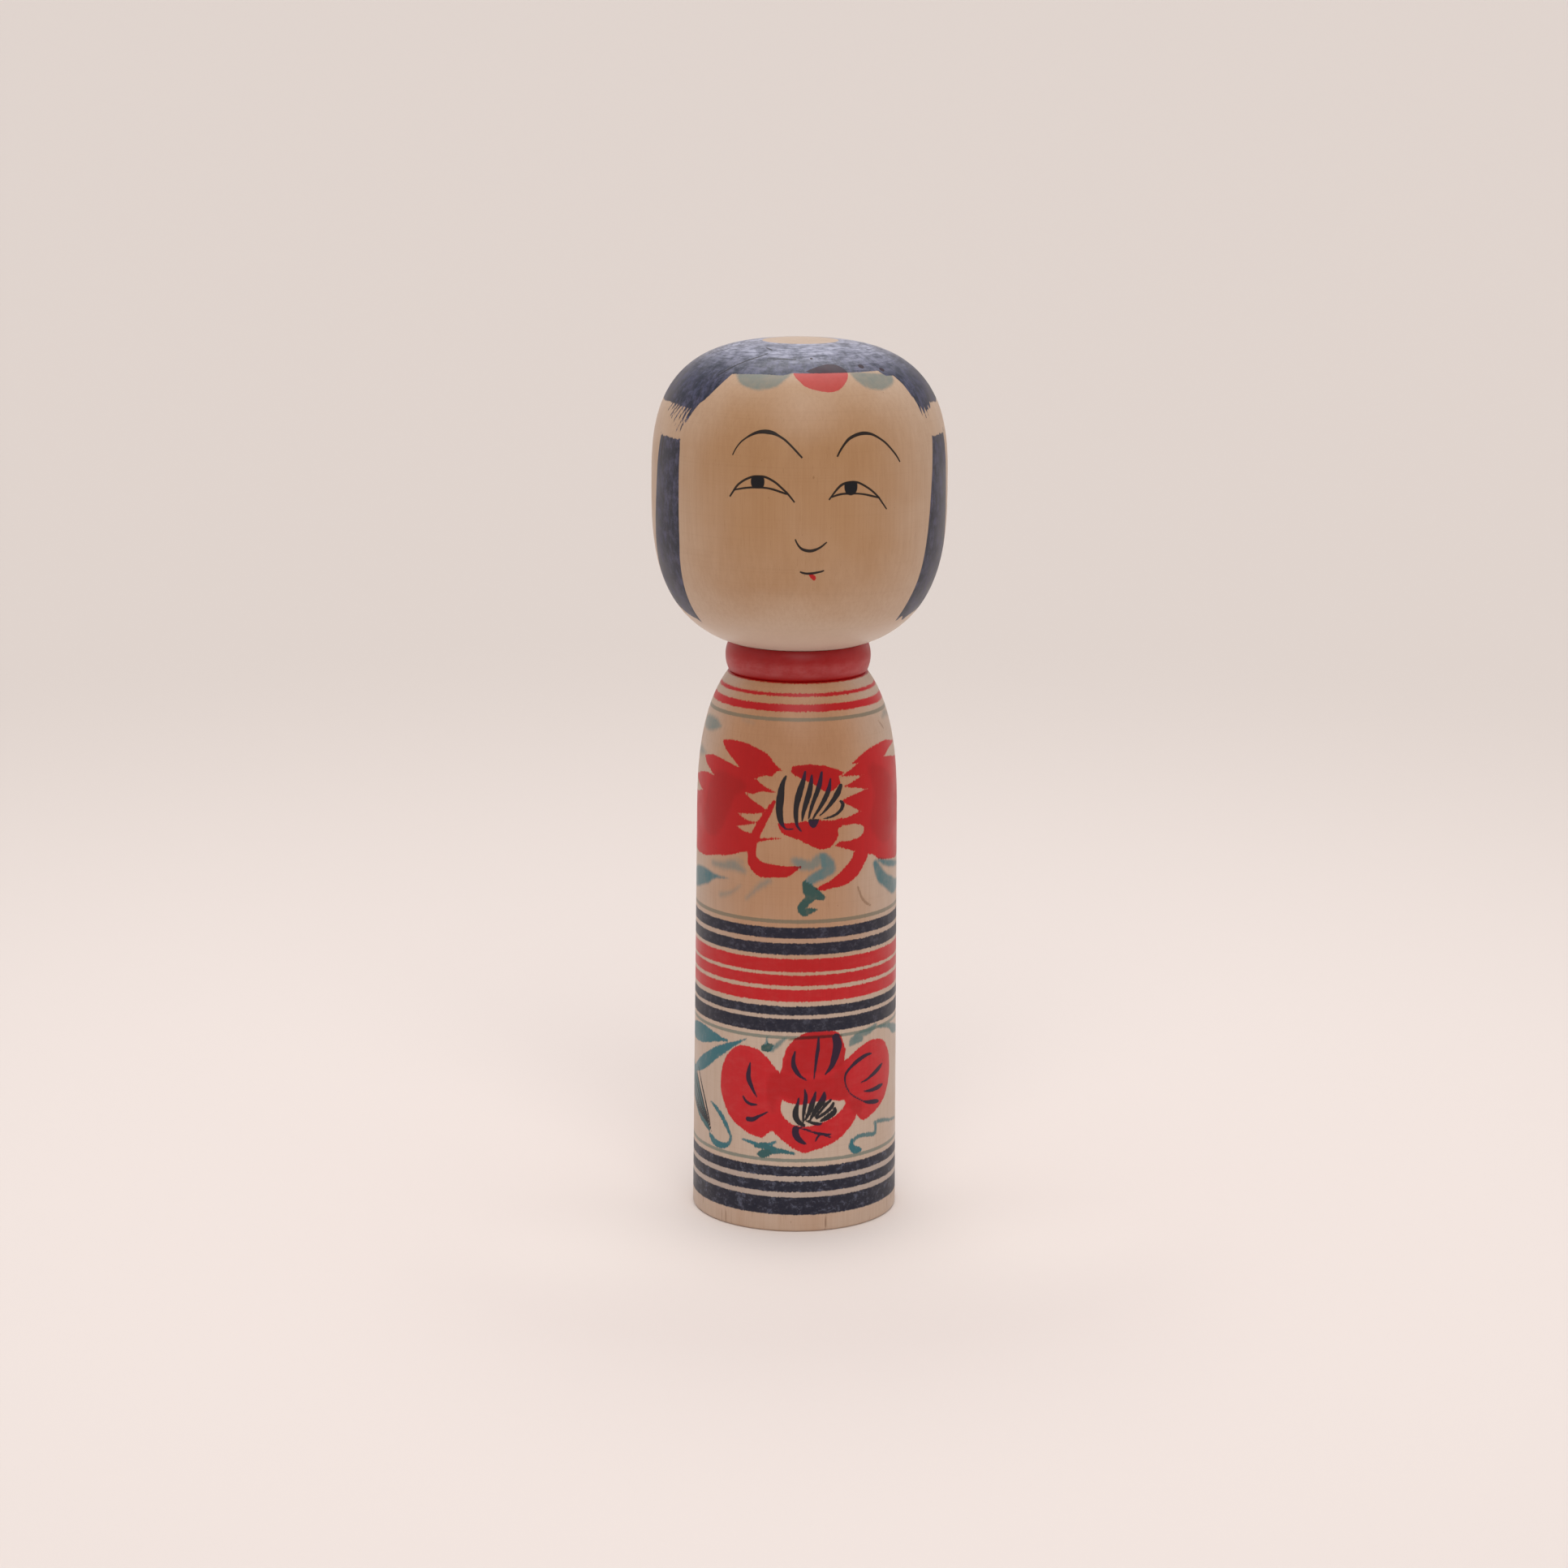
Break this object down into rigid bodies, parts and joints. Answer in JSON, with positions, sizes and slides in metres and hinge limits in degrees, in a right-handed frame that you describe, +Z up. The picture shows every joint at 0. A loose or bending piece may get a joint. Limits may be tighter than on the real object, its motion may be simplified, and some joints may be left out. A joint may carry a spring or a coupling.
{
  "type": "kokeshi doll",
  "caption": "Turned wooden kokeshi doll: a cylindrical body with a collar bead and a large round head that turns on a tenon.",
  "frame": {"origin": "centre of the flat base, on the surface that the doll stands on", "axes": "+Z up along the turned axis; the painted face and flowers look along -Y"},
  "size_m": [0.0794, 0.0794, 0.24],
  "materials": {
    "body_wood": "satin",
    "head_wood": "satin"
  },
  "bodies": {
    "body": {"body": "body_wood"},
    "head": {"head": "head_wood"}
  },
  "joints": [
    {"name": "head_turn", "type": "hinge", "parent": "body", "child": "head", "pos_m": [0, 0, 0.1481], "axis": [0, 0, 1], "continuous": true}
  ]
}
